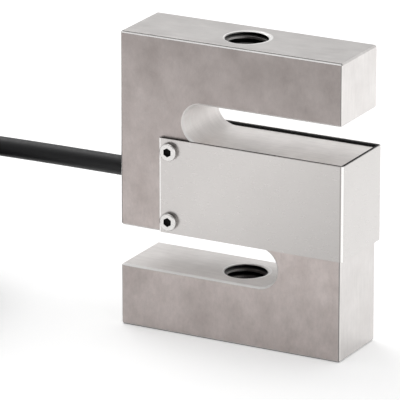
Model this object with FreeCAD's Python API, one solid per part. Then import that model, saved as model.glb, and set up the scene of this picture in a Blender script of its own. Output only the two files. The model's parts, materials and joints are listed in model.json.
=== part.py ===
import FreeCAD, Part
import math
import os

# S type load cell: a steel block cut to an S by two slots, with a threaded hole in each end bar.
# Strain gauges sit in two pockets of the middle bar, under a folded sheet cover with a rubber gasket.
# Millimetres. X runs along the bars, Y through the thickness, Z up the load axis.
# The origin is on the load axis, at the bottom face.

V = FreeCAD.Vector
AXIS_X, AXIS_Y, AXIS_Z = V(1, 0, 0), V(0, 1, 0), V(0, 0, 1)

# ---- spring body ----
body_w = 61.0            # along the bars
body_t = 19.0            # through the thickness
bar_h = 16.0             # each end bar
slot_h = 10.1            # each slot, with full round ends
middle_h = 24.0          # the middle bar
column_w = 17.5          # from a side face to the nearer slot's end
edge_chamfer = 0.5
thread_core_d = 10.2     # M12 tapped hole, at its crests
thread_mouth_d = 11.0    # small countersink at both ends of the hole

# ---- gauge pockets and passages in the middle bar ----
pocket_d = 16.0
web_t = 3.0              # what is left between the two pockets
bore_d = 8.0             # for the cable's bush and seal
bore_depth = 13.5
wire_hole_d = 2.2        # from the cable bore to the front pocket
wire_hole_off_web = 0.2
web_hole_d = 1.6         # through the web, for the back gauges' wires
web_hole_in = 0.9        # from the pocket's wall to that hole

# ---- cover, gasket and screws ----
gasket_t = 0.7
sheet_t = 0.3
cover_bend_r = 1.0       # outside
cover_left = 11.5        # from the body's left face to the cover's edge
cover_over_top = 0.6     # cover's edge above the middle bar's top face
cover_over_bottom = 0.2  # cover's other edge above the bar's bottom face
gasket_inset = 0.1       # gasket's edges inside the cover's
screw_d = 2.5
screw_clearance = 0.05   # in the tapped hole, on the radius
screw_reach = 4.6        # of shank in the body
screw_hole_spare = 0.8   # tapped depth past the screw's end
screw_edge_x = 2.8       # from the cover's left edge
screw_edge_z = 3.2       # from its top and bottom edges
head_d = 4.5
head_h = 1.2
head_chamfer = 0.2
socket_af = 2.0
socket_depth = 0.8
cover_hole_d = 2.9
gasket_hole_d = 3.2

# ---- strain gauges, board and potting ----
gauge_l = 4.0
gauge_w = 3.0
gauge_t = 0.12
gauge_offset = 3.2       # from the pocket's axis, up and down
board_w = 9.0
board_h = 7.2
board_t = 0.8
board_off_web = 1.1
chip_w = 1.25
chip_h = 2.0
chip_t = 0.5
chip_pitch = 2.6
potting_below_face = 0.8

# ---- wires inside ----
core_wire_d = 0.7
core_wire_pitch = 1.0
pad_pitch = 1.6          # of the cores' pads on the board's edge
bridge_wire_d = 0.3
bridge_wire_pitch = 0.6
bridge_pad_pitch = 1.1
wire_lead_in = 1.3       # a core's straight stretch before its hole and past it
pad_lead_in = 0.6        # a wire's straight end at its pad
bridge_wire_rise = 1.3   # off the back gauges, on the way to the web's hole
bridge_wire_x = 0.6      # where it starts on the gauge, off the pocket's axis
bridge_wire_run = 2.0    # its first straight run, along the gauge
bridge_wire_lift = 0.08  # of that run off the gauge
jumper_d = 0.4
jumper_spread = 0.9
jumper_offset = 2.9      # from the pocket's axis, up and down

# ---- cable ----
cable_d = 5.0
cable_in = 7.0           # cable's end inside the left face
bush_l = 3.8
bush_recess = 0.2
bush_clearance = 0.1
arc_share = 0.45         # of the shorter run, taken up by an arc

# The free cable's route in the open, from its end in the bore to the coil's top layer.
cable_route = [
    (-23.5, 0.0, 38.1),
    (-51.0, 0.0, 38.1),
    (-79.0, 1.4, 37.2),
    (-106.5, 3.8, 35.9),
    (-124.5, -3.4, 34.9),
    (-133.5, -17.0, 32.6),
    (-133.2, -30.0, 28.8),
]

# ---- the coil that the rest of the cable is wound into ----
coil_x = -103.5
coil_y = -22.0
coil_in_r = 20.0         # innermost turn's middle
coil_columns = 3
coil_layers = 6
coil_slack = 1.0         # solid's outline outside the turns
coil_corner_r = 2.0
tail_start = -4.0        # along X from the coil's axis, where the last turn straightens
tail_run = 15.0          # two runs of the cable's end, past the coil's last turn
tail_veer = 0.8          # away from the coil, over the last run
tail_lift = 0.1          # of the bend before the sleeve, over the sleeve's axis

# ---- cable ties, end sleeve and leads ----
tie_t = 0.8
tie_w = 2.5
tie_angles = (10.0, 235.0)
tie_head = 3.2
sleeve_r = 2.9
sleeve_over = 5.0        # over the jacket
sleeve_past = 5.0        # past the jacket's end
sleeve_nose_r = 2.1
lead_d = 1.2
lead_pitch = 1.5         # of the leads in the sleeve's nose
lead_forward = (3.5, 7.0, 10.5, 14.0)
lead_fan = 1.8           # sideways, from one lead's end to the next
lead_spreads = (0.4, 0.75, 1.0)  # shares of the fan at a lead's last three points
lead_drops = (0.5, 1.0, 1.0)     # and of its way down to the surface
tip_d = 0.7
tip_l = 3.0
drain_d = 0.8

# ---- worked out from the sizes above ----
body_h = 2 * bar_h + 2 * slot_h + middle_h
middle_z0 = bar_h + slot_h
middle_z1 = middle_z0 + middle_h
middle_z = (middle_z0 + middle_z1) / 2
slot_r = slot_h / 2
front_y = -body_t / 2
left_x = -body_w / 2
pocket_r = pocket_d / 2
web_y = web_t / 2
cover_x0 = left_x + cover_left
cover_z0 = middle_z0 + cover_over_bottom
cover_z1 = middle_z1 + cover_over_top
cover_out = gasket_t + sheet_t
screw_x = cover_x0 + screw_edge_x
screw_zs = (cover_z0 + screw_edge_z, cover_z1 - screw_edge_z)
wire_hole_y = -(web_y + wire_hole_off_web + wire_hole_d / 2)
web_hole_x = pocket_r - web_hole_in - web_hole_d / 2
board_y1 = -(web_y + board_off_web)
board_y0 = board_y1 - board_t
cable_r = cable_d / 2
cable_end_x = left_x + cable_in
coil_out_r = coil_in_r + (coil_columns - 1) * cable_d
coil_z0 = tie_t
coil_h = coil_layers * cable_d


def box(x0, x1, y0, y1, z0, z1):
    return Part.makeBox(x1 - x0, y1 - y0, z1 - z0, V(x0, y0, z0))


def rod(d, length, base, along):
    """A cylinder of diameter d from base, in the direction along."""
    return Part.makeCylinder(d / 2, length, base, along)


def fused(shapes):
    return shapes[0].multiFuse(shapes[1:]).removeSplitter()


def tube_along(points, d, name=None):
    """A round tube of straight runs joined by tangent arcs. A name has its radii and volume printed."""
    corners = [V(*p) for p in points]
    pieces, radii, length, start = [], [], 0, corners[0]
    for before, corner, after in zip(corners, corners[1:], corners[2:]):
        back, on = before - corner, after - corner
        cut = arc_share * min(back.Length, on.Length)
        back.normalize()
        on.normalize()
        turn = math.pi - back.getAngle(on)
        radius = cut / math.tan(turn / 2)
        arc_start, arc_end = corner + back * cut, corner + on * cut
        centre = corner + (back + on).normalize() * (radius / math.cos(turn / 2))
        pieces.append(rod(d, (arc_start - start).Length, start, arc_start - start))
        ring = Part.Face(Part.Wire(Part.makeCircle(d / 2, arc_start, back)))
        pieces.append(ring.revolve(centre, on.cross(back), math.degrees(turn)))
        radii.append(radius)
        length += (arc_start - start).Length + radius * turn
        start = arc_end
    last = corners[-1] - start
    pieces.append(rod(d, last.Length, start, last))
    solid = pieces[0].multiFuse(pieces[1:])
    if name:
        expected = math.pi * d * d / 4 * (length + last.Length)
        print(name, "radii", [round(r, 1) for r in radii], "length", round(length + last.Length, 1))
        print(name, "volume over section times length", round(solid.Volume / expected, 4))
    return solid


# ---- the steel body ----

def slot(side, z0):
    """A slot with a full round end; side is +1 where it opens to +X."""
    end_x = side * (left_x + column_w + slot_r)
    mouth_x = side * body_w
    straight = box(min(end_x, mouth_x), max(end_x, mouth_x), -body_t, body_t, z0, z0 + slot_h)
    return straight.fuse(rod(slot_h, 2 * body_t, V(end_x, -body_t, z0 + slot_r), AXIS_Y))


def is_sharp(edge):
    """Edges of the front and back faces, and the corners along the side faces."""
    points = [v.Point for v in edge.Vertexes]
    on_face = all(abs(abs(p.y) - body_t / 2) < 1e-6 for p in points)
    same_face = points[0].y * points[-1].y > 0
    on_side = all(abs(abs(p.x) - body_w / 2) < 1e-6 for p in points)
    return on_face and (same_face or on_side)


def threaded_hole(z0):
    """The cutter for one end bar's hole: its core and a countersink at each end."""
    core_r, mouth_r = thread_core_d / 2, thread_mouth_d / 2
    sink = mouth_r - core_r
    z1 = z0 + bar_h
    return fused([
        rod(thread_core_d, bar_h, V(0, 0, z0), AXIS_Z),
        Part.makeCone(mouth_r, core_r, sink, V(0, 0, z0), AXIS_Z),
        Part.makeCone(core_r, mouth_r, sink, V(0, 0, z1 - sink), AXIS_Z),
    ])


def screw_places():
    """Name, seat on the cover and outward direction of each cover screw."""
    seat = body_t / 2 + cover_out
    for face, side in (("front", -1), ("back", 1)):
        for level, z in zip(("lower", "upper"), screw_zs):
            yield f"cover_screw_{face}_{level}", V(screw_x, side * seat, z), V(0, side, 0)


def spring_body():
    blank = box(left_x, -left_x, front_y, -front_y, 0, body_h)
    blank = blank.cut(slot(1, middle_z1)).cut(slot(-1, bar_h))
    blank = blank.makeChamfer(edge_chamfer, [e for e in blank.Edges if is_sharp(e)])
    pocket = body_t / 2 - web_y
    cutters = [
        threaded_hole(0),
        threaded_hole(body_h - bar_h),
        rod(pocket_d, pocket, V(0, front_y, middle_z), AXIS_Y),
        rod(pocket_d, pocket, V(0, web_y, middle_z), AXIS_Y),
        rod(bore_d, bore_depth, V(left_x, 0, middle_z), AXIS_X),
        rod(wire_hole_d, -left_x - bore_depth, V(left_x + bore_depth, wire_hole_y, middle_z), AXIS_X),
        rod(web_hole_d, 2 * web_t, V(web_hole_x, -web_t, middle_z), AXIS_Y),
    ]
    for _, seat, out in screw_places():
        depth = cover_out + screw_reach + screw_hole_spare
        cutters.append(rod(screw_d + 2 * screw_clearance, depth, seat, out * -1))
    return blank.cut(Part.makeCompound(cutters))


# ---- cover, gasket and screws ----

def wrap(inset, thick, z0, z1, bend_r):
    """A U of sheet round the middle bar's front, right end and back, inset off the body."""
    out = inset + thick

    def slab(off, r):
        block = box(cover_x0, -left_x + off, front_y - off, -front_y + off, z0, z1)
        bends = [e for e in block.Edges if all(v.X > 0 for v in e.Vertexes) and e.Length > z1 - z0 - 1e-6
                 and abs(e.tangentAt(e.FirstParameter).z) > 0.5]
        return block.makeFillet(r, bends) if r > 0 else block

    return slab(out, bend_r).cut(slab(inset, max(bend_r - thick, 0)))


def with_screw_holes(sheet, d):
    return sheet.cut(Part.makeCompound([
        rod(d, 2 * (cover_out + head_h), seat + out * head_h, out * -1) for _, seat, out in screw_places()
    ]))


def gauge_cover():
    return with_screw_holes(wrap(gasket_t, sheet_t, cover_z0, cover_z1, cover_bend_r), cover_hole_d)


def cover_gasket():
    sheet = wrap(0, gasket_t, cover_z0 + gasket_inset, cover_z1 - gasket_inset, cover_bend_r - sheet_t)
    return with_screw_holes(sheet, gasket_hole_d)


def cover_screw(seat, out):
    """A low hex socket screw; seat is the middle of the face under its head."""
    head = rod(head_d, head_h, seat, out)
    rims = [e for e in head.Edges if isinstance(e.Curve, Part.Circle)
            and (e.Curve.Center - seat).Length > head_h / 2]
    head = head.makeChamfer(head_chamfer, rims)
    shank = rod(screw_d, cover_out + screw_reach, seat, out * -1)
    corner_r = socket_af / 2 / math.cos(math.pi / 6)
    floor = seat + out * (head_h - socket_depth)
    angles = [math.radians(60 * k + 30) for k in range(7)]
    hexagon = Part.makePolygon([floor + V(corner_r * math.cos(a), 0, corner_r * math.sin(a)) for a in angles])
    return head.fuse(shank).removeSplitter().cut(Part.Face(hexagon).extrude(out * socket_depth))


# ---- gauges, board and wires ----

def strain_gauge(side, level):
    """A foil gauge on the web, turned 45 degrees; side is -1 in front, level +1 above."""
    face = web_y if side > 0 else -web_y - gauge_t
    foil = box(-gauge_l / 2, gauge_l / 2, face, face + gauge_t, -gauge_w / 2, gauge_w / 2)
    foil.rotate(V(0, 0, 0), AXIS_Y, 45 * level)
    foil.translate(V(0, 0, middle_z + level * gauge_offset))
    return foil


def terminal_board():
    return box(-board_w / 2, board_w / 2, board_y0, board_y1, middle_z - board_h / 2, middle_z + board_h / 2)


def trim_resistor(place):
    x = place * chip_pitch
    return box(x - chip_w / 2, x + chip_w / 2, board_y0 - chip_t, board_y0,
               middle_z - chip_h / 2, middle_z + chip_h / 2)


def inner_core(place):
    """One of the cable's four cores, from the jacket's end to its pad on the board."""
    up = (1 if place > 1 else -1) * core_wire_pitch / 2
    across = (1 if place % 2 else -1) * core_wire_pitch / 2
    pad_z = middle_z + (place - 1.5) * pad_pitch
    hole_x = left_x + bore_depth
    board_x = -board_w / 2
    pad_y = (board_y0 + board_y1) / 2
    return tube_along([
        (cable_end_x, across, middle_z + up),
        (cable_end_x + wire_lead_in, across, middle_z + up),
        (hole_x - wire_lead_in, wire_hole_y + across, middle_z + up),
        (-pocket_r + wire_lead_in, wire_hole_y + across, middle_z + up),
        (board_x - pad_lead_in, pad_y, pad_z),
        (board_x, pad_y, pad_z),
    ], core_wire_d)


def bridge_wires():
    """Four fine wires from the back gauges, through the web, to the board's right edge."""
    y_back = web_y + gauge_t + bridge_wire_lift + bridge_wire_d / 2
    pad_y = (board_y0 + board_y1) / 2
    wires = []
    for place in range(4):
        level = 1 if place > 1 else -1
        across = (0.5 if place % 2 else -0.5) * bridge_wire_pitch
        z_hole = middle_z + level * bridge_wire_pitch / 2
        z_gauge = middle_z + level * gauge_offset + across
        pad_z = middle_z + (place - 1.5) * bridge_pad_pitch
        wires.append(tube_along([
            (bridge_wire_x, y_back, z_gauge),
            (bridge_wire_x + bridge_wire_run, y_back, z_gauge),
            (web_hole_x + across, y_back + bridge_wire_rise, z_hole),
            (web_hole_x + across, pad_y, z_hole),
            (board_w / 2 + pad_lead_in, pad_y, pad_z),
            (board_w / 2, pad_y, pad_z),
        ], bridge_wire_d))
    return Part.makeCompound(wires)


def gauge_jumpers():
    """Four short wires from the front gauges up to the board above them."""
    y0 = -web_y - gauge_t
    return Part.makeCompound([
        rod(jumper_d, y0 - board_y1, V(side * jumper_spread, board_y1, middle_z + level * jumper_offset), AXIS_Y)
        for side in (-1, 1) for level in (-1, 1)
    ])


def potting(side, held):
    """The sealing compound in one pocket, cut round all that it holds."""
    depth = body_t / 2 - web_y - potting_below_face
    plug = rod(pocket_d, depth, V(0, side * web_y, middle_z), V(0, side, 0))
    return plug.cut(Part.makeCompound(held))


# ---- cable, bush and seal ----

def collar(x0, x1, hole_d):
    """A ring in the cable bore."""
    ring = rod(bore_d, x1 - x0, V(x0, 0, middle_z), AXIS_X)
    return ring.cut(rod(hole_d, x1 - x0, V(x0, 0, middle_z), AXIS_X))


def coil_outline(off):
    """The coil's section, as a face in the plane Y = coil_y at +X of its axis."""
    r0 = coil_x + coil_in_r - cable_r - coil_slack - off
    r1 = coil_x + coil_out_r + cable_r + coil_slack + off
    z0, z1 = coil_z0 - off, coil_z0 + coil_h + coil_slack + off
    plate = Part.makeBox(r1 - r0, 1, z1 - z0, V(r0, coil_y, z0))
    plate = plate.makeFillet(coil_corner_r + off, [e for e in plate.Edges if abs(e.tangentAt(0).y) > 0.5])
    return next(f for f in plate.Faces if abs(f.CenterOfMass.y - coil_y) < 1e-6)


def tail_points():
    """The cable's end: it leaves the coil's lowest outer turn along +X and ends in the sleeve."""
    y = coil_y - coil_out_r
    return [
        (coil_x + tail_start, y, coil_z0 + cable_r),
        (coil_x + tail_start + tail_run, y, sleeve_r + tail_lift),
        (coil_x + tail_start + 2 * tail_run, y - tail_veer, sleeve_r),
    ]


def cable_coil():
    """The outer shape of the wound cable, with the tail that runs out of it."""
    axis_point = V(coil_x, coil_y, 0)
    ring = coil_outline(0).revolve(axis_point, AXIS_Z, 360)
    return ring.fuse(tube_along(tail_points(), cable_d, "tail")).removeSplitter()


def coil_tie(angle):
    """A nylon tie round the coil's section, with its lock on the inside."""
    axis_point = V(coil_x, coil_y, 0)
    mean_r = (coil_in_r + coil_out_r) / 2
    sweep = math.degrees(tie_w / mean_r)
    band = coil_outline(tie_t).cut(coil_outline(0)).Faces[0].revolve(axis_point, AXIS_Z, sweep)
    band.rotate(axis_point, AXIS_Z, -sweep / 2)
    inner_x = coil_x + coil_in_r - cable_r - coil_slack - tie_t
    z = coil_z0 + coil_h / 2
    lock = box(inner_x - tie_head, inner_x + tie_t / 2, coil_y - tie_head / 2, coil_y + tie_head / 2,
               z - tie_head / 2, z + tie_head / 2)
    tie = band.fuse(lock).removeSplitter()
    tie.rotate(axis_point, AXIS_Z, angle)
    return tie


def tail_frame():
    """The tail's end, its direction and the direction across it."""
    points = [V(*p) for p in tail_points()]
    along = (points[-1] - points[-2]).normalize()
    return points[-1], along, AXIS_Z.cross(along).normalize()


def end_sleeve():
    """A shrunk sleeve over the jacket's end, closed round the leads."""
    end, along, _ = tail_frame()
    skirt = rod(2 * sleeve_r, sleeve_over, end - along * sleeve_over, along)
    nose = Part.makeCone(sleeve_r, sleeve_nose_r, sleeve_past, end, along)
    jacket = rod(cable_d, sleeve_over, end - along * sleeve_over, along)
    return skirt.fuse(nose).removeSplitter().cut(jacket)


def lead_points(place, d):
    """A lead's route, from the sleeve's nose down to the surface; place runs over -2 to 2."""
    end, along, across = tail_frame()
    high = place in (-1, 1)
    lift = lead_pitch / 2 if high else -lead_pitch / 3
    first = end + along * sleeve_past + across * (place * lead_pitch / 2) + along.cross(across) * lift
    route = [first, first + along * lead_forward[0]]
    for share, drop, forward in zip(lead_spreads, lead_drops, lead_forward[1:]):
        p = first + along * forward + across * (place * (lead_fan - lead_pitch / 2) * share)
        p.z = first.z + (d / 2 - first.z) * drop
        route.append(p)
    return [(p.x, p.y, p.z) for p in route]


def lead_tip(route):
    """The bare strands past one lead's insulation."""
    last, before = V(*route[-1]), V(*route[-2])
    return rod(tip_d, tip_l, last, (last - before).normalize())


def build():
    """Every node's name and its shape."""
    nodes = {"spring_body": spring_body(), "gauge_cover": gauge_cover(), "cover_gasket": cover_gasket()}
    for name, seat, out in screw_places():
        nodes[name] = cover_screw(seat, out)

    front, back = [], []
    for face, side, held in (("front", -1, front), ("back", 1, back)):
        for level, up in (("lower", -1), ("upper", 1)):
            gauge = strain_gauge(side, up)
            nodes[f"strain_gauge_{face}_{level}"] = gauge
            held.append(gauge)
    nodes["terminal_board"] = terminal_board()
    front.append(nodes["terminal_board"])
    for place, name in ((-1, "zero"), (0, "span"), (1, "bridge")):
        nodes[f"trim_resistor_{name}"] = trim_resistor(place)
        front.append(nodes[f"trim_resistor_{name}"])
    for place, colour in enumerate(("green", "black", "white", "red")):
        nodes[f"inner_core_{colour}"] = inner_core(place)
        front.append(nodes[f"inner_core_{colour}"])
    nodes["bridge_wires"] = bridge_wires()
    nodes["gauge_jumpers"] = gauge_jumpers()
    front += [nodes["bridge_wires"], nodes["gauge_jumpers"]]
    back.append(nodes["bridge_wires"])
    nodes["potting_front"] = potting(-1, front)
    nodes["potting_back"] = potting(1, back)

    bush_x0 = left_x + bush_recess
    nodes["cable_bush"] = collar(bush_x0, bush_x0 + bush_l, cable_d + 2 * bush_clearance)
    nodes["cable_seal"] = collar(bush_x0 + bush_l, cable_end_x, cable_d)
    nodes["cable_coil"] = cable_coil()
    nodes["signal_cable"] = tube_along(cable_route, cable_d, "signal_cable").cut(nodes["cable_coil"])
    for place, angle in enumerate(tie_angles, 1):
        nodes[f"coil_tie_{place}"] = coil_tie(angle)
    nodes["end_sleeve"] = end_sleeve()
    tips = []
    for place, colour in ((-2, "green"), (-1, "black"), (1, "white"), (2, "red")):
        route = lead_points(place, lead_d)
        nodes[f"lead_{colour}"] = tube_along(route, lead_d)
        tips.append(lead_tip(route))
    nodes["lead_tips"] = Part.makeCompound(tips)
    nodes["drain_wire"] = tube_along(lead_points(0, drain_d), drain_d)
    return nodes


os.makedirs("parts", exist_ok=True)
for node_name, shape in build().items():
    shape.exportStep(f"parts/{node_name}.step")
    print(node_name, "solids", len(shape.Solids), "valid", shape.isValid(), "volume", round(shape.Volume, 2))
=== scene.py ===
import json
from math import ceil, cos, pi, radians, sin

import bmesh
import bpy
from mathutils import Matrix, Vector


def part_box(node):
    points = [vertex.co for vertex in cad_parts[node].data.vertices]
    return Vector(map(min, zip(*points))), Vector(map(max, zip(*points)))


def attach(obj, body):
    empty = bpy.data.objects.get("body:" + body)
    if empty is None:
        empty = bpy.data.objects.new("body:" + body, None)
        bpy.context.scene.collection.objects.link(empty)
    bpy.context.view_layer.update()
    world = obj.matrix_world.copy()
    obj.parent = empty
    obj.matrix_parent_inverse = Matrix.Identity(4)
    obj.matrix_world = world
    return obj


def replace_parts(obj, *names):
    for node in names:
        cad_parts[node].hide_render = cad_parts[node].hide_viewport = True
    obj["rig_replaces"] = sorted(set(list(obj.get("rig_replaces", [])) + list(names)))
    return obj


# Looks of the S type load cell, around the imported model. Metres, in the model's own frame:
# X along the bars, Y through the thickness, Z up the load axis, origin under it at the bottom face.

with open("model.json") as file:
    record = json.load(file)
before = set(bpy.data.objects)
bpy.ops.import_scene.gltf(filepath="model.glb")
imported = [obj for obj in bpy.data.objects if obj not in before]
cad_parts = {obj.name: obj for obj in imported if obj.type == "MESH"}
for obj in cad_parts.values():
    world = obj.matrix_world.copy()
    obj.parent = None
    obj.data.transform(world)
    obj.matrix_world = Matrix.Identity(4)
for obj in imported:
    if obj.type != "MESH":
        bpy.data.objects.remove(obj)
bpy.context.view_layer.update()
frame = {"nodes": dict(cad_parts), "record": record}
cad = frame["nodes"]

MM = 0.001
BODY_LOW, BODY_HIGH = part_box("spring_body")
BODY_H = BODY_HIGH[2] - BODY_LOW[2]
COVER_LOW, COVER_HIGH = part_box("gauge_cover")

# ---- camera ----
AIM = Vector((-0.0133, 0, 0.0324))
AZIMUTH = radians(28.28)
ELEVATION = radians(18.28)
DISTANCE = 1.213
LENS = 441
SENSOR_W = 36
VIEW_REACH = 20

# ---- cable: the route from its end in the bore to the coil's top layer ----
CABLE_D = 0.005
ROUTE = [
    (-0.0235, 0, 0.0381),
    (-0.051, 0, 0.0381),
    (-0.079, 0.0014, 0.0372),
    (-0.1065, 0.0038, 0.0359),
    (-0.1245, -0.0034, 0.0349),
    (-0.1335, -0.017, 0.0326),
    (-0.1332, -0.03, 0.0288),
]
TAIL = [
    (-0.0925, -0.052, 0.003),
    (-0.0775, -0.0528, 0.0029),
]

# ---- the coil's turns ----
COIL_X, COIL_Y = -0.1035, -0.022
COIL_COLUMNS = 3
COIL_OUTER_R = 0.0305
COLUMN_PITCH = 0.0055
COIL_TOP_Z = 0.0293
COIL_LOW_Z = 0.0033
LAYER_PITCH = 0.0052
COIL_START = radians(180)      # where the first turn is counted from
TURN_STEPS = 16
FIRST_TURN, LAST_TURN = 0.104, 18.24
JOG = 0.3                      # of a turn, in which it steps to the next column or layer

# ---- thread of the bars' holes, M12 ----
PITCH = 1.75 * MM
THREAD_CREST_R = 5.0 * MM      # inside the plain hole's wall, so that its lands stay
THREAD_ROOT_R = 6.0 * MM
THREAD_FLAT = 0.22 * MM
THREAD_FLANK = 0.577 * MM
THREAD_STEPS = 48
THREAD_PAST = 2.0 * MM         # of the cutter, past each end of the hole
THREAD_TURN = radians(3)       # of the cutter, so that its seam misses the plain hole's own
BAR_H = 16.0 * MM

# ---- rounded edges, and how meshes are cleaned ----
BODY_EDGE_R = 0.12 * MM
COVER_EDGE_R = 0.14 * MM
SCREW_EDGE_R = 0.10 * MM
EDGE_ANGLE = radians(35)       # over it an edge is rounded
SHARP_ANGLE = radians(26)      # over it an edge stays sharp in the shading
FLAT_ANGLE = radians(0.2)      # under it two faces become one
SAME_PLACE = 0.001 * MM        # under it two corners become one

# ---- the screws' sockets ----
SOCKET_R = 1.3 * MM            # just outside the socket's corners
SOCKET_Y = 11.65 * MM          # just under the heads' tops
HEAD_SEAT_Y = 10.5 * MM

# Marks are placed by ramps, written as (start, end) or as (start, end, first value, last value),
# and by bands, written as (low, high, soft edge).

# ---- marks by the way that a face looks: parts of its normal, or two parts multiplied ----
SQUARE_ON = (0.75, 0.95)
SLANTED = (0.2, 0.35)
LOOKS_UP = (0.3, 0.6)
CURVED = (0.99, 0.85)          # from a slot's level wall to its round end
NOT_LARGE = (0.5, 0.4)         # of the mask of the large faces

# ---- marks at the threaded holes ----
BAR_FACE = BODY_H / 2 - BAR_H  # of a bar's inner face, off the body's middle
NEAR_BAR = (BAR_FACE - 0.5 * MM, BAR_FACE - 0.3 * MM)
RING = (4.8 * MM, 6.0 * MM, 0.25 * MM)  # burnished round each hole, countersink and all, and painted pale as a highlight
DARK_THREAD_DEPTH = 0.5 * MM           # from a bar's faces to the thread's dark, of oil and painted shade
OILED_AND_SHADED = (BAR_FACE + DARK_THREAD_DEPTH, BODY_H / 2 - DARK_THREAD_DEPTH, 0.05 * MM)
OIL_AND_SHADE_EDGE = (THREAD_ROOT_R + 0.2 * MM, THREAD_ROOT_R + 0.1 * MM)
LAND_EDGE = (THREAD_CREST_R + 0.3 * MM, THREAD_CREST_R + 0.2 * MM)
# painted shade in the thread, darker out towards its roots
GROOVE_SHADE = (THREAD_CREST_R + 0.8 * MM, THREAD_CREST_R + 0.1 * MM, 0.10, 1.0)
PAINTED_GLINT = (0.5, 0.85, 0.3, 1.0)  # painted glints: brighter where the thread looks along the bars

# ---- marks on the rest of the body: painted dark reflections in its chamfers, painted shadows beside the cover and along the bottom edge, and painted highlights ----
# where the painted dark reflections lie, in the top's long chamfers and in the upright ones
TOP_EDGE = (BODY_HIGH[2] - 0.6 * MM, BODY_HIGH[2] - 0.4 * MM)
SIDE_EDGE = (BODY_HIGH[0] - 0.6 * MM, BODY_HIGH[0] - 0.4 * MM)
TOP_LINE = (8.97 * MM, 9.2 * MM, 0.04 * MM)
CORNER_LINE = (9.32 * MM, 9.52 * MM, 0.04 * MM)
COVER_SHADOW_REACH = 0.45 * MM         # of the painted shadow, either side of the cover's left edge
BESIDE_COVER = (COVER_LOW[0] - COVER_SHADOW_REACH, COVER_LOW[0] + COVER_SHADOW_REACH, 0.2 * MM)
ALONG_COVER = (COVER_LOW[2], COVER_HIGH[2], 0.2 * MM)
FOOT_SHADOW = (0.45 * MM, 0.2 * MM)   # painted contact shadow, from here down to the surface that the body stands on
SLOT_SPAN = (BODY_LOW[2] + BAR_H - 0.2 * MM, BODY_HIGH[2] - BAR_H + 0.2 * MM, 0.1 * MM)
IN_SLOT = (BODY_HIGH[0] - 0.2 * MM, BODY_HIGH[0] - 0.3 * MM)

# ---- the body's tones, each times its steel's colour: painted shade and painted highlights ----
# painted shade on the large faces: darker up the body and to the right, and darker near the bottom
LARGE_DRIFT = (0.40 * BODY_H, 0.98 * BODY_H, 1.0, 0.68)
LARGE_LEAN = 0.3               # of that drift, to the right
FOOT_DRIFT = (0.14 * BODY_H, 0.34 * BODY_H, 0.86, 1.0)
# painted light on the milled faces: the end faces lighter high up and lighter than the tops, the tops darker
# low down
SIDE_DRIFT = (0.2 * BODY_H, 0.8 * BODY_H, 0.92, 1.08)
MILLED_DRIFT = (0.2 * BODY_H, 0.6 * BODY_H, 0.80, 0.92)
# painted shadow beside the cover's left edge
COVER_SHADOW_TONE = 0.72
# painted dark reflection in the chamfers
DARK_REFLECTION_TONE = 0.30
# painted contact shadow along the bottom edge
FOOT_SHADOW_TONE = 0.30
# painted highlight on the slot walls and chamfers
HIGHLIGHT_TONE = 1.26
# burnished rings round the holes, brightened further as a painted highlight
RING_TONE = 1.24

# ---- painted highlights: where the body's steel is pale and less shiny, so that it catches light ----
HIGHLIGHT_WHITE = (0.95, 0.935, 0.92, 1)
PALE_METALLIC = 0.25
CUT_ROUGH = 0.5
RING_ROUGH = 0.3

# ---- marks on the cover and the screws: painted reflections, highlights and shade ----
LIGHTER_END = (0.6, 0.95)        # painted lighter: from the cover's front to its right end, by its normal
LOWER_RIGHT_FADE = (-42 * MM, -5 * MM, 1.0, 0.77)  # darker towards the lower right corner
LOWER_RIGHT_LEAN = 0.8
ON_BEND = (COVER_HIGH[0] - 3 * MM, COVER_HIGH[0] - 2 * MM)
# painted reflections in the cover's right bends: a dark band and a bright band, by the normal's X
DARK_REFLECTION_BEND = (0.10, 0.34, 0.05)
DARK_REFLECTION_STEEL = (0.36, 0.34, 0.33, 1)
BRIGHT_REFLECTION_BEND = (0.45, 0.85, 0.05)
# painted highlight along the cover's left rim
COVER_RIM = (COVER_LOW[0] + 0.4 * MM, COVER_LOW[0] + 0.3 * MM)
HIGHLIGHT_STEEL = (0.97, 0.955, 0.94, 1)
HEAD_WALL = (0.5, 0.2)         # from a screw head's top to its wall, by its normal
# painted shade on the screw heads' walls
HEAD_WALL_SHADE = (0.30, 0.29, 0.28, 1)

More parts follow.
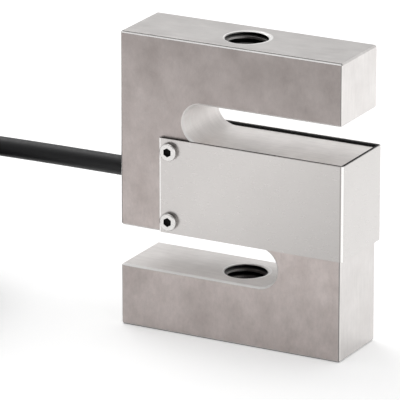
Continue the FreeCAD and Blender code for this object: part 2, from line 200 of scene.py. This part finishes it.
# ---- finishes in one look all over ----
NOISE_SPAN = (0.3, 0.7)        # where most of a noise's values lie
SWING_SPAN = (0.25, 0.75)      # and a little wider, for the grain's light and dark
FINE = (1400.0, 1400.0, 1400.0)
METAL = {"Metallic": 1.0}
FINISH_LOOKS = {
    "gasket_rubber": dict(colour=(0.008, 0.008, 0.008), patch=(0.014, 0.013, 0.012), grain=FINE,
                          rough=(0.6, 0.8), depth=0.02 * MM, plain={"Specular IOR Level": 0.25}),
    "gauge_foil": dict(colour=(0.72, 0.50, 0.24), patch=(0.60, 0.40, 0.18), grain=(4000.0, 4000.0, 400.0),
                       rough=(0.3, 0.45), scale=500.0),
    "board_green": dict(colour=(0.02, 0.16, 0.06), patch=(0.015, 0.12, 0.045), grain=FINE,
                        rough=(0.25, 0.4), scale=400.0, depth=0.01 * MM),
    "chip_ceramic": dict(colour=(0.035, 0.035, 0.04), patch=(0.06, 0.06, 0.065), grain=FINE,
                         rough=(0.35, 0.5), scale=900.0),
    "wire_red": dict(colour=(0.50, 0.02, 0.015), patch=(0.42, 0.015, 0.012), grain=FINE,
                     rough=(0.3, 0.45)),
    "wire_black": dict(colour=(0.02, 0.02, 0.022), patch=(0.03, 0.03, 0.03), grain=FINE,
                       rough=(0.3, 0.45)),
    "wire_green": dict(colour=(0.02, 0.28, 0.06), patch=(0.018, 0.23, 0.05), grain=FINE,
                       rough=(0.3, 0.45)),
    "wire_white": dict(colour=(0.78, 0.77, 0.74), patch=(0.70, 0.69, 0.66), grain=FINE,
                       rough=(0.3, 0.45)),
    "copper_tinned": dict(colour=(0.72, 0.70, 0.67), patch=(0.66, 0.50, 0.40), grain=(5000.0, 5000.0, 5000.0),
                          rough=(0.25, 0.42), scale=800.0, depth=0.02 * MM, plain=METAL),
    "potting_silicone": dict(colour=(0.62, 0.60, 0.55), patch=(0.54, 0.52, 0.47), grain=FINE,
                             rough=(0.25, 0.4), scale=150.0, depth=0.02 * MM),
    "bush_brass": dict(colour=(0.62, 0.46, 0.20), patch=(0.54, 0.38, 0.16), grain=(300.0, 3000.0, 3000.0),
                       rough=(0.22, 0.38), scale=200.0, depth=0.004 * MM, plain=METAL),
    "seal_rubber": dict(colour=(0.022, 0.022, 0.022), patch=(0.034, 0.033, 0.032), grain=FINE,
                        rough=(0.5, 0.75), depth=0.02 * MM),
    "cable_jacket": dict(colour=(0.010, 0.010, 0.011), patch=(0.018, 0.018, 0.019), grain=FINE,
                         rough=(0.40, 0.55), scale=120.0, depth=0.03 * MM,
                         plain={"Specular IOR Level": 0.35}),
    "tie_nylon": dict(colour=(0.03, 0.03, 0.03), patch=(0.045, 0.045, 0.045), grain=FINE,
                      rough=(0.35, 0.5), scale=200.0, depth=0.01 * MM),
    "sleeve_black": dict(colour=(0.016, 0.016, 0.016), patch=(0.03, 0.03, 0.03), grain=FINE,
                         rough=(0.45, 0.62), scale=200.0, depth=0.03 * MM),
    "socket_shade": dict(colour=(0.008, 0.008, 0.008), patch=(0.004, 0.004, 0.004), grain=FINE,
                         rough=(0.6, 0.8), plain={"Specular IOR Level": 0.2}),
}

# ---- floor and light: places in the room are parts of a direction ----
FLOOR_SIZE = 6.0
FLOOR_SHADE = 0.9
FLOOR_LIFT = 0.31              # of its own light, where it is seen
ROOM_DEPTH = (-0.95, -0.2)     # from the front's light to the back's
ROOM_FRONT, ROOM_BACK = 0.2, 0.7
CEILING_GAP = (0.74, 0.9, 0.04)  # between the top softbox and the wall
CEILING_SHADE = 0.4            # of the room's light there
WINDOW_HEIGHT = (0.0, 0.4, 0.1)  # low on the right, level with the upper slot's open end
WINDOW_LIGHT = (0.2, 0.5, 0.0, 1.35)
SOFTBOX_AIM = Vector((0, 0, 0.04))
SOFTBOXES = [
    ("top_softbox", (-0.15, -0.05, 1.3), (1.3, 1.3), 4.7),
    ("left_softbox", (-0.75, 0.45, 0.9), (0.8, 0.8), 4.05),
]


def look_from_front_right():
    """The camera, a long lens from the front and right, a little above."""
    back = Vector((sin(AZIMUTH) * cos(ELEVATION), -cos(AZIMUTH) * cos(ELEVATION), sin(ELEVATION)))
    lens = bpy.data.cameras.new("camera")
    lens.lens = LENS
    lens.sensor_width = SENSOR_W
    lens.clip_end = VIEW_REACH
    camera = bpy.data.objects.new("camera", lens)
    camera.location = AIM + back * DISTANCE
    camera.rotation_euler = (-back).to_track_quat("-Z", "Y").to_euler()
    bpy.context.collection.objects.link(camera)
    bpy.context.scene.camera = camera


def winding(turns):
    """Radius and height of the cable's middle in the coil, so many turns after its start."""
    whole = int(turns)
    jog = max(turns - whole - (1 - JOG), 0) / JOG
    layer, column = divmod(whole, COIL_COLUMNS)
    at_edge = column == COIL_COLUMNS - 1
    inward = column + (0 if at_edge else jog)
    down = layer + (jog if at_edge else 0)
    if layer % 2:
        inward = COIL_COLUMNS - 1 - inward
    return COIL_OUTER_R - COLUMN_PITCH * inward, max(COIL_TOP_Z - LAYER_PITCH * down, COIL_LOW_Z)


def coil_points():
    """Control points of the coil's turns, from its top layer down to its lowest outer turn."""
    count = ceil((LAST_TURN - FIRST_TURN) * TURN_STEPS)
    for step in range(count):
        turns = FIRST_TURN + step / TURN_STEPS
        radius, height = winding(turns)
        reach = radius / cos(pi / TURN_STEPS)
        angle = COIL_START + 2 * pi * turns
        yield COIL_X + reach * cos(angle), COIL_Y + reach * sin(angle), height


def signal_cable():
    """The cable as one smooth curve: out of the body, into the coil and out to its end."""
    points = ROUTE + list(coil_points()) + TAIL
    line = bpy.data.curves.new("cable", "CURVE")
    line.dimensions = "3D"
    line.bevel_depth = 1.0         # times each point's radius, so that the curve's box is true
    line.bevel_resolution = 5
    line.resolution_u = 6
    line.use_fill_caps = True
    spline = line.splines.new("NURBS")
    spline.points.add(len(points) - 1)
    for control, place in zip(spline.points, points):
        control.co = (*place, 1)
        control.radius = CABLE_D / 2
    spline.order_u = 3
    spline.use_endpoint_u = True
    cable = bpy.data.objects.new("cable", line)
    bpy.context.collection.objects.link(cable)
    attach(cable, "root")
    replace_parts(cable, "signal_cable", "cable_coil")
    ends = ["coil_tie_1", "coil_tie_2", "end_sleeve", "lead_tips", "drain_wire"]
    ends += ["lead_" + colour for colour in ("green", "black", "white", "red")]
    return cable


# ---- shapes ----

def object_from(bm, name):
    """A finished mesh as an object, smooth between its sharp edges."""
    mesh = bpy.data.meshes.new(name)
    bm.to_mesh(mesh)
    bm.free()
    shade(mesh)
    made = bpy.data.objects.new(name, mesh)
    bpy.context.collection.objects.link(made)
    return made


def flatten_large_faces(piece):
    """Normals that follow the larger face beside each rounded edge, so that flats stay flat."""
    weigh = piece.modifiers.new("flats", "WEIGHTED_NORMAL")
    weigh.keep_sharp = True
    weigh.weight = 100


def shade(mesh):
    """Smooth faces with sharp edges between them, and no normals left over from the copied mesh."""
    if "custom_normal" in mesh.attributes:
        mesh.attributes.remove(mesh.attributes["custom_normal"])
    mesh.polygons.foreach_set("use_smooth", [True] * len(mesh.polygons))
    mesh.set_sharp_from_angle(angle=SHARP_ANGLE)


def in_the_open(edge):
    """Whether an edge of the body lies outside the cover, where it shows."""
    middle = (edge.verts[0].co + edge.verts[1].co) / 2
    return not (COVER_LOW[0] < middle.x < COVER_HIGH[0] and COVER_LOW[2] < middle.z < COVER_HIGH[2])


def copy_of(node, name, edge_r, shows=None):
    """A merged copy of a node's mesh in plain faces, with its sharp edges rounded where they show."""
    bm = bmesh.new()
    bm.from_mesh(cad[node].data)
    bmesh.ops.remove_doubles(bm, verts=bm.verts, dist=SAME_PLACE)
    bmesh.ops.dissolve_limit(bm, angle_limit=FLAT_ANGLE, verts=bm.verts, edges=bm.edges)
    sharp = [e for e in bm.edges if e.is_manifold and e.calc_face_angle() > EDGE_ANGLE]
    if shows:
        sharp = [e for e in sharp if shows(e)]
    bmesh.ops.bevel(bm, geom=sharp, offset=edge_r, segments=2, profile=0.5, affect="EDGES",
                    material=-1, clamp_overlap=True)
    made = object_from(bm, name)
    flatten_large_faces(made)
    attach(made, "root")
    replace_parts(made, node)
    return made


def thread_cutter(z0, z1):
    """A threaded rod through a plain hole, which cuts the thread's grooves in its wall."""
    bm = bmesh.new()
    turns = ceil((z1 - z0 + 2 * THREAD_PAST) / PITCH)
    land = PITCH - THREAD_FLAT - 2 * THREAD_FLANK
    z = z0 - THREAD_PAST
    corners = [bm.verts.new((THREAD_CREST_R, 0, z))]
    for _ in range(turns):
        for rise, radius in ((land, THREAD_CREST_R), (THREAD_FLANK, THREAD_ROOT_R),
                             (THREAD_FLAT, THREAD_ROOT_R), (THREAD_FLANK, THREAD_CREST_R)):
            z += rise
            corners.append(bm.verts.new((radius, 0, z)))
    line = [bm.edges.new(pair) for pair in zip(corners, corners[1:])]
    bmesh.ops.spin(bm, geom=corners + line, cent=(0, 0, 0), axis=(0, 0, 1), angle=2 * pi,
                   dvec=(0, 0, PITCH / THREAD_STEPS), steps=THREAD_STEPS)
    bmesh.ops.remove_doubles(bm, verts=bm.verts, dist=SAME_PLACE)
    bmesh.ops.holes_fill(bm, edges=[e for e in bm.edges if e.is_boundary], sides=0)
    bmesh.ops.triangulate(bm, faces=bm.faces)
    bmesh.ops.recalc_face_normals(bm, faces=bm.faces)
    bmesh.ops.rotate(bm, verts=bm.verts, matrix=Matrix.Rotation(THREAD_TURN, 3, "Z"))
    return object_from(bm, "thread_cutter")


def cut(piece, cutter):
    """Takes the cutter's solid out of the piece."""
    step = piece.modifiers.new("cut", "BOOLEAN")
    step.operation = "DIFFERENCE"
    step.solver = "EXACT"
    step.object = cutter
    graph = bpy.context.evaluated_depsgraph_get()
    result = bpy.data.meshes.new_from_object(piece.evaluated_get(graph))
    piece.modifiers.clear()
    piece.data = result
    flatten_large_faces(piece)
    bpy.data.objects.remove(cutter)
    shade(result)


def spring_body():
    """The steel body, with real threads in the end bars' holes."""
    body = copy_of("spring_body", "steel_body", BODY_EDGE_R, in_the_open)
    for z0 in (0, BODY_HIGH[2] - BAR_H):
        cut(body, thread_cutter(z0, z0 + BAR_H))
    return body


# ---- materials ----

def put(tree, socket, value):
    """A plain value or a link on a node's input."""
    if isinstance(value, bpy.types.NodeSocket):
        tree.links.new(value, socket)
    else:
        socket.default_value = value


def add_node(tree, kind, settings=None, **values):
    """A node with its settings, and with plain values or links on its inputs."""
    made = tree.nodes.new("ShaderNode" + kind)
    for key, value in (settings or {}).items():
        setattr(made, key, value)
    for key, value in values.items():
        put(tree, made.inputs[key.replace("_", " ")], value)
    return made


def calc(tree, operation, *values, kind="Math"):
    """One step of arithmetic, on values or, as VectorMath, on vectors."""
    made = add_node(tree, kind, {"operation": operation})
    for socket, value in zip(made.inputs, values):
        put(tree, socket, value)
    return made.outputs["Value"] if kind == "Math" or operation == "LENGTH" else made.outputs["Vector"]


def product(tree, value, *others):
    """Masks or tones multiplied."""
    for other in others:
        value = calc(tree, "MULTIPLY", value, other)
    return value


def largest(tree, value, *others):
    """The largest of some masks or strengths."""
    for other in others:
        value = calc(tree, "MAXIMUM", value, other)
    return value


def unsigned(tree, value):
    """The value without its sign."""
    return calc(tree, "ABSOLUTE", value)


def between(tree, mask, kind, first, second):
    """From the first to the second of two values, vectors or colours, by a mask."""
    into, out = {"FLOAT": (2, 0), "VECTOR": (4, 1), "RGBA": (6, 2)}[kind]
    mix = add_node(tree, "Mix", {"data_type": kind})
    for socket, value in zip((mix.inputs[0], mix.inputs[into], mix.inputs[into + 1]), (mask, first, second)):
        put(tree, socket, value)
    return mix.outputs[out]


def ramp(tree, value, start, end, low=0.0, high=1.0):
    """A straight ramp from low to high, held past its ends."""
    return add_node(tree, "MapRange", Value=value, From_Min=start, From_Max=end,
                    To_Min=low, To_Max=high).outputs[0]


def band(tree, value, low, high, soft):
    """1 where the value lies between low and high, with soft ends."""
    return product(tree, ramp(tree, value, low - soft, low), ramp(tree, value, high + soft, high))


def without(tree, mask, *others):
    """The mask, but 0 where another one is 1."""
    for other in others:
        mask = product(tree, mask, ramp(tree, other, 1.0, 0.0))
    return mask


def toned(tree, value, mask, tone):
    """The value times a tone, where the mask is 1."""
    return product(tree, value, ramp(tree, mask, 0.0, 1.0, 1.0, tone))


def scaled(tree, colour, tone):
    """The colour times a tone."""
    made = add_node(tree, "VectorMath", {"operation": "SCALE"}, Scale=tone)
    put(tree, made.inputs[0], colour)
    return made.outputs[0]


def place_of(tree):
    """Where a point of the piece lies: the whole place, and its X, Y and Z."""
    place = add_node(tree, "TexCoord").outputs["Object"]
    return place, add_node(tree, "SeparateXYZ", Vector=place).outputs


def facing_of(tree, normal="True Normal"):
    """Which way the surface looks, as the normal's X, Y and Z."""
    geometry = add_node(tree, "NewGeometry")
    return add_node(tree, "SeparateXYZ", Vector=geometry.outputs[normal]).outputs


def slanted(tree, facing, first, second):
    """1 on chamfers, which look between two axes."""
    return ramp(tree, unsigned(tree, product(tree, facing[first], facing[second])), *SLANTED)


def new_group(name, inputs, outputs):
    """A node group with its sockets, its input node and its output node."""
    group = bpy.data.node_groups.new(name, "ShaderNodeTree")
    for title, kind, value in inputs:
        socket = group.interface.new_socket(title, in_out="INPUT", socket_type="NodeSocket" + kind)
        socket.default_value = value
    for title, kind in outputs:
        group.interface.new_socket(title, in_out="OUTPUT", socket_type="NodeSocket" + kind)
    return group, group.nodes.new("NodeGroupInput"), group.nodes.new("NodeGroupOutput")


def patchy_grain():
    """Soft patches of a second colour and a directed grain, for every finish."""
    group, given, out = new_group("patchy_grain", [
        ("Colour", "Color", (0.5, 0.5, 0.5, 1)),
        ("Patch Colour", "Color", (0.4, 0.4, 0.4, 1)),
        ("Patch Scale", "Float", 60.0),
        ("Patch Share", "Float", 0.5),
        ("Grain Scale", "Vector", (900.0, 900.0, 900.0)),
        ("Grain Share", "Float", 0.1),
        ("Rough Low", "Float", 0.3),
        ("Rough High", "Float", 0.5),
        ("Bump Height", "Float", 0.01),
    ], [("Colour", "Color"), ("Roughness", "Float"), ("Normal", "Vector")])
    given = given.outputs
    place = add_node(group, "TexCoord").outputs["Object"]
    patches = add_node(group, "TexNoise", Vector=place, Scale=given["Patch Scale"], Detail=4.0,
                       Roughness=0.6).outputs[0]
    share = product(group, ramp(group, patches, *NOISE_SPAN), given["Patch Share"])
    tint = between(group, share, "RGBA", given["Colour"], given["Patch Colour"])
    stretched = calc(group, "MULTIPLY", place, given["Grain Scale"], kind="VectorMath")
    grain = add_node(group, "TexNoise", Vector=stretched, Scale=1.0, Detail=3.0, Roughness=0.65).outputs[0]
    swing = product(group, ramp(group, grain, *SWING_SPAN, -1.0, 1.0), given["Grain Share"])
    rough = ramp(group, grain, *NOISE_SPAN, given["Rough Low"], given["Rough High"])
    bump = add_node(group, "Bump", Height=grain, Strength=1.0, Distance=given["Bump Height"])
    put(group, out.inputs["Colour"], scaled(group, tint, calc(group, "ADD", swing, 1.0)))
    put(group, out.inputs["Roughness"], rough)
    put(group, out.inputs["Normal"], bump.outputs[0])
    return group


def grained(tree, colour, patch, grain, rough, share=0.5, scale=60.0, depth=0.0, swing=0.08):
    """The patchy grain in a material: two colours, the grain's scale each way, roughness from low to high."""
    look = tree.nodes.new("ShaderNodeGroup")
    look.node_tree = PATCHY_GRAIN
    values = {
        "Colour": (*colour, 1),
        "Patch Colour": (*patch, 1),
        "Patch Scale": scale,
        "Patch Share": share,
        "Grain Scale": grain,
        "Grain Share": swing,
        "Rough Low": rough[0],
        "Rough High": rough[1],
        "Bump Height": depth,
    }
    for key, value in values.items():
        look.inputs[key].default_value = value
    return look.outputs


def new_material(name, plain=None):
    """A material with its plain numbers on its own shader."""
    material = bpy.data.materials.new(name)
    material.use_nodes = True
    shader = material.node_tree.nodes["Principled BSDF"]
    for key, value in (plain or {}).items():
        shader.inputs[key].default_value = value
    return material, material.node_tree, shader


def set_look(tree, shader, colour, rough, normal):
    """Colour, roughness and normal on a material's shader."""
    put(tree, shader.inputs["Base Color"], colour)
    put(tree, shader.inputs["Roughness"], rough)
    put(tree, shader.inputs["Normal"], normal)


def finish(name, plain=None, **look):
    """A material in the patchy grain."""
    material, tree, shader = new_material(name, plain)
    made = grained(tree, **look)
    set_look(tree, shader, made["Colour"], made["Roughness"], made["Normal"])
    return material


def thread_marks(tree, facing, place, z):
    """At the holes: masks of the thread, dark from oil and painted shade, of its lands, and of the rings
    round them, burnished and painted as highlights; and the thread's tone of painted shade and glints.
    """
    level = calc(tree, "MULTIPLY", place, (1, 1, 0), kind="VectorMath")
    off_axis = calc(tree, "LENGTH", level, kind="VectorMath")
    off_middle = unsigned(tree, calc(tree, "SUBTRACT", z, BODY_H / 2))
    thread = product(tree, band(tree, off_middle, *OILED_AND_SHADED), ramp(tree, off_axis, *OIL_AND_SHADE_EDGE))
    land = product(tree, thread, ramp(tree, off_axis, *LAND_EDGE))
    burnished_highlight_ring = product(tree, band(tree, off_axis, *RING), ramp(tree, off_middle, *NEAR_BAR))
    tone = product(tree, ramp(tree, off_axis, *GROOVE_SHADE), ramp(tree, unsigned(tree, facing["X"]), *PAINTED_GLINT))
    return thread, land, without(tree, burnished_highlight_ring, thread), tone


def painted_dark_reflections(tree, facing, x, y, z):
    """Mask of the painted dark reflections, as lines in the top's long chamfers and in the upright ones."""
    off_middle = unsigned(tree, y)
    top = product(tree, slanted(tree, facing, "Y", "Z"), band(tree, off_middle, *TOP_LINE),
                  ramp(tree, z, *TOP_EDGE))
    corner = product(tree, slanted(tree, facing, "X", "Y"), band(tree, off_middle, *CORNER_LINE),
                     ramp(tree, unsigned(tree, x), *SIDE_EDGE))
    return largest(tree, top, corner)


def painted_shade_drift(tree, facing, x, z, large):
    """The steel's tone before its marks: painted shade that changes slowly up the body, with the end faces
    painted lighter than the tops.
    """
    on_large = product(tree, ramp(tree, calc(tree, "MULTIPLY_ADD", x, LARGE_LEAN, z), *LARGE_DRIFT),
                       ramp(tree, z, *FOOT_DRIFT))
    side = ramp(tree, unsigned(tree, facing["X"]), *SQUARE_ON)
    on_milled = between(tree, side, "FLOAT", ramp(tree, z, *MILLED_DRIFT), ramp(tree, z, *SIDE_DRIFT))
    return between(tree, large, "FLOAT", on_milled, on_large)


def body_finish():
    """The body's steel: satin on the two large faces, milled on the others, with painted shade, shadows, dark
    reflections and highlights, burnished rings round the holes, and thread dark from oil and painted shade.
    """
    material, tree, shader = new_material("body_steel")
    # the satin is darker than the milled steel partly for its ground finish, partly as painted shade on the
    # large faces
    satin = grained(tree, colour=(0.615, 0.553, 0.534), patch=(0.45, 0.398, 0.38), rough=(0.36, 0.50),
                    grain=(1100.0, 1100.0, 600.0), scale=170.0, share=0.75, depth=0.006 * MM, swing=0.12)
    milled = grained(tree, colour=(0.77, 0.745, 0.73), patch=(0.64, 0.615, 0.60), rough=(0.28, 0.40),
                     grain=(160.0, 1000.0, 160.0), scale=90.0, share=0.8, depth=0.002 * MM, swing=0.06)
    facing = facing_of(tree)
    place, (x, y, z) = place_of(tree)
    large = ramp(tree, unsigned(tree, facing["Y"]), *SQUARE_ON)
    colour = between(tree, large, "RGBA", milled["Colour"], satin["Colour"])
    rough = between(tree, large, "FLOAT", milled["Roughness"], satin["Roughness"])
    normal = between(tree, large, "VECTOR", milled["Normal"], satin["Normal"])

    thread, land, burnished_highlight_ring, thread_shade_and_glint = thread_marks(tree, facing, place, z)
    line = painted_dark_reflections(tree, facing, x, y, z)
    # painted shadow on the large faces beside the cover's left edge
    painted_shadow_beside_cover = product(tree, band(tree, x, *BESIDE_COVER), band(tree, z, *ALONG_COVER), large)
    painted_foot_shadow = ramp(tree, z, *FOOT_SHADOW)
    slot_wall = product(tree, band(tree, z, *SLOT_SPAN), ramp(tree, large, *NOT_LARGE),
                        ramp(tree, unsigned(tree, x), *IN_SLOT))
    long_chamfer = slanted(tree, facing, "Y", "Z")
    chamfer = largest(tree, long_chamfer, slanted(tree, facing, "X", "Y"), slanted(tree, facing, "X", "Z"))
    # painted highlight: slot walls and chamfers made brighter
    painted_highlight = without(tree, largest(tree, slot_wall, chamfer), line, thread, painted_foot_shadow)

    # painted shade up the body, then the tones of the painted marks
    tone = painted_shade_drift(tree, facing, x, z, large)
    for mask, change in ((painted_shadow_beside_cover, COVER_SHADOW_TONE), (line, DARK_REFLECTION_TONE), (painted_foot_shadow, FOOT_SHADOW_TONE),
                         (painted_highlight, HIGHLIGHT_TONE), (burnished_highlight_ring, RING_TONE)):
        tone = toned(tree, tone, mask, change)
    # painted shade and glints in the thread
    tone = product(tree, tone, between(tree, thread, "FLOAT", 1.0, thread_shade_and_glint))
    # painted highlight in near-white on the rings and on the long chamfers that look up
    pale = largest(tree, burnished_highlight_ring, product(tree, painted_highlight, long_chamfer, ramp(tree, facing["Z"], *LOOKS_UP)))
    colour = between(tree, pale, "RGBA", scaled(tree, colour, tone), HIGHLIGHT_WHITE)

    # less metallic where painted highlights are, and on the thread's lands, so that they catch light
    slot_end = product(tree, slot_wall, ramp(tree, unsigned(tree, facing["Z"]), *CURVED))
    painted_light_part = product(tree, painted_highlight, largest(tree, slot_end, long_chamfer))
    painted_light_part = largest(tree, painted_light_part, burnished_highlight_ring, land)
    put(tree, shader.inputs["Metallic"], ramp(tree, painted_light_part, 0.0, 1.0, 1.0, PALE_METALLIC))
    rough = between(tree, slot_wall, "FLOAT", rough, CUT_ROUGH)
    set_look(tree, shader, colour, between(tree, burnished_highlight_ring, "FLOAT", rough, RING_ROUGH), normal)
    return material


def cover_finish():
    """The cover's fine satin sheet, painted lighter on its right end and darker towards its lower right
    corner, with painted dark and bright reflections in its right bends and a painted highlight along its left
    rim.
    """
    material, tree, shader = new_material("cover_steel", METAL)
    sheet = dict(grain=(500.0, 500.0, 3000.0), rough=(0.26, 0.36), scale=40.0, share=0.7,
                 depth=0.002 * MM, swing=0.03)
    face = grained(tree, colour=(0.65, 0.625, 0.61), patch=(0.61, 0.585, 0.57), **sheet)
    # the same sheet, painted lighter on its right end
    end = grained(tree, colour=(0.69, 0.67, 0.655), patch=(0.65, 0.63, 0.615), **sheet)
    across = unsigned(tree, facing_of(tree, "Normal")["X"])
    x, _, z = place_of(tree)[1]
    to_corner = calc(tree, "SUBTRACT", calc(tree, "MULTIPLY", x, LOWER_RIGHT_LEAN), z)
    darker_to_lower_right = scaled(tree, face["Colour"], ramp(tree, to_corner, *LOWER_RIGHT_FADE))
    colour = between(tree, ramp(tree, across, *LIGHTER_END), "RGBA", darker_to_lower_right, end["Colour"])
    on_bend = ramp(tree, x, *ON_BEND)
    # painted dark and bright reflections in the right bends, and a painted highlight on the left rim
    painted_light_part = product(tree, band(tree, across, *DARK_REFLECTION_BEND), on_bend)
    colour = between(tree, painted_light_part, "RGBA", colour, DARK_REFLECTION_STEEL)
    bright_reflection = product(tree, band(tree, across, *BRIGHT_REFLECTION_BEND), on_bend)
    bright = largest(tree, bright_reflection, ramp(tree, x, *COVER_RIM))
    colour = between(tree, bright, "RGBA", colour, HIGHLIGHT_STEEL)
    set_look(tree, shader, colour, face["Roughness"], face["Normal"])
    return material


def screw_finish():
    """The screws' bright steel, with painted shade round the heads' walls."""
    material, tree, shader = new_material("screw_steel", METAL)
    look = grained(tree, colour=(0.78, 0.765, 0.75), patch=(0.70, 0.685, 0.67), rough=(0.22, 0.36),
                   grain=FINE, scale=400.0, depth=0.003 * MM)
    wall = ramp(tree, unsigned(tree, facing_of(tree)["Y"]), *HEAD_WALL)
    colour = between(tree, wall, "RGBA", look["Colour"], HEAD_WALL_SHADE)
    set_look(tree, shader, colour, look["Roughness"], look["Normal"])
    return material


def make_finishes():
    """Every finish by its slot's name."""
    finishes = {"body_steel": body_finish(), "cover_steel": cover_finish(), "screw_steel": screw_finish()}
    for name, look in FINISH_LOOKS.items():
        finishes[name] = finish(name, **look)
    return finishes


def node_slots():
    """The slot of every node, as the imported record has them."""
    return {part["node"]: part["material_slot"] for part in frame["record"]["subparts"]}


def paint(piece, title):
    """One finish all over a piece."""
    piece.data.materials.clear()
    piece.data.materials.append(FINISHES[title])


def darken_socket(screw):
    """Oil and shade in the screw's hex socket, on a finish of its own."""
    low, high = (Vector(corner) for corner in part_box(screw["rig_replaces"][0]))
    middle = (low + high) / 2
    screw.data.materials.append(FINISHES["socket_shade"])
    for face in screw.data.polygons:
        off = Vector((face.center.x - middle.x, 0, face.center.z - middle.z)).length
        if off < SOCKET_R and HEAD_SEAT_Y < abs(face.center.y) < SOCKET_Y:
            face.material_index = 1


# ---- floor, backdrop and light ----

def seen_directly(tree, reflections=True):
    """1 on the rays that show the background: the camera's, and those in gloss and glass if asked."""
    rays = add_node(tree, "LightPath").outputs
    if not reflections:
        return rays["Is Camera Ray"]
    return largest(tree, rays["Is Camera Ray"], rays["Is Glossy Ray"], rays["Is Transmission Ray"])


def floor():
    """A pale floor, white where it is seen, which keeps the object's shadow."""
    bm = bmesh.new()
    bmesh.ops.create_grid(bm, x_segments=1, y_segments=1, size=FLOOR_SIZE / 2)
    made = object_from(bm, "floor")
    material = bpy.data.materials.new("floor")
    material.use_nodes = True
    tree = material.node_tree
    tree.nodes.clear()
    matt = add_node(tree, "BsdfDiffuse", Color=(FLOOR_SHADE, FLOOR_SHADE, FLOOR_SHADE, 1))
    lift = product(tree, seen_directly(tree), FLOOR_LIFT)
    glow = add_node(tree, "Emission", Color=(1, 1, 1, 1), Strength=lift)
    both = add_node(tree, "AddShader")
    for socket, shader in zip(both.inputs, (matt, glow)):
        put(tree, socket, shader.outputs[0])
    add_node(tree, "OutputMaterial", Surface=both.outputs[0])
    made.data.materials.append(material)


def studio():
    """A room with a pale sweep: brighter behind, a gap in its ceiling's light, a window low on the right."""
    world = bpy.data.worlds.new("studio")
    world.use_nodes = True
    bpy.context.scene.world = world
    tree = world.node_tree
    room = tree.nodes["Background"]
    room.inputs["Color"].default_value = (1, 1, 1, 1)
    way = add_node(tree, "TexCoord").outputs["Generated"]
    x, y, z = add_node(tree, "SeparateXYZ", Vector=way).outputs
    near, far = ROOM_DEPTH
    light = add_node(tree, "MapRange", {"interpolation_type": "SMOOTHSTEP"}, Value=y, From_Min=near,
                     From_Max=far, To_Min=ROOM_FRONT, To_Max=ROOM_BACK).outputs[0]
    light = toned(tree, light, band(tree, z, *CEILING_GAP), CEILING_SHADE)
    window = product(tree, band(tree, z, *WINDOW_HEIGHT), ramp(tree, x, *WINDOW_LIGHT))
    light = largest(tree, light, window)
    put(tree, room.inputs["Strength"], between(tree, seen_directly(tree, False), "FLOAT", light, 1.0))


def softbox(name, place, size, power):
    """A soft rectangular lamp, turned to the object's middle."""
    light = bpy.data.lights.new(name, "AREA")
    light.shape = "RECTANGLE"
    light.size, light.size_y = size
    light.energy = power
    made = bpy.data.objects.new(name, light)
    made.location = place
    made.rotation_euler = (SOFTBOX_AIM - Vector(place)).to_track_quat("-Z", "Y").to_euler()
    bpy.context.collection.objects.link(made)


# ---- the making: camera and cable first ----

PATCHY_GRAIN = patchy_grain()
FINISHES = make_finishes()

look_from_front_right()
paint(signal_cable(), "cable_jacket")

slots = node_slots()
dressed = {"spring_body": spring_body(), "gauge_cover": copy_of("gauge_cover", "sheet_cover", COVER_EDGE_R)}
for node in cad:
    if node.startswith("cover_screw"):
        dressed[node] = copy_of(node, "socket_" + node.removeprefix("cover_"), SCREW_EDGE_R)
for node, piece in cad.items():
    if node not in ("signal_cable", "cable_coil"):
        paint(dressed.get(node, piece), slots[node])
    if node.startswith("cover_screw"):
        darken_socket(dressed[node])

bpy.context.scene.view_settings.view_transform = "Standard"
floor()
studio()
for lamp in SOFTBOXES:
    softbox(*lamp)

bpy.context.view_layer.update()
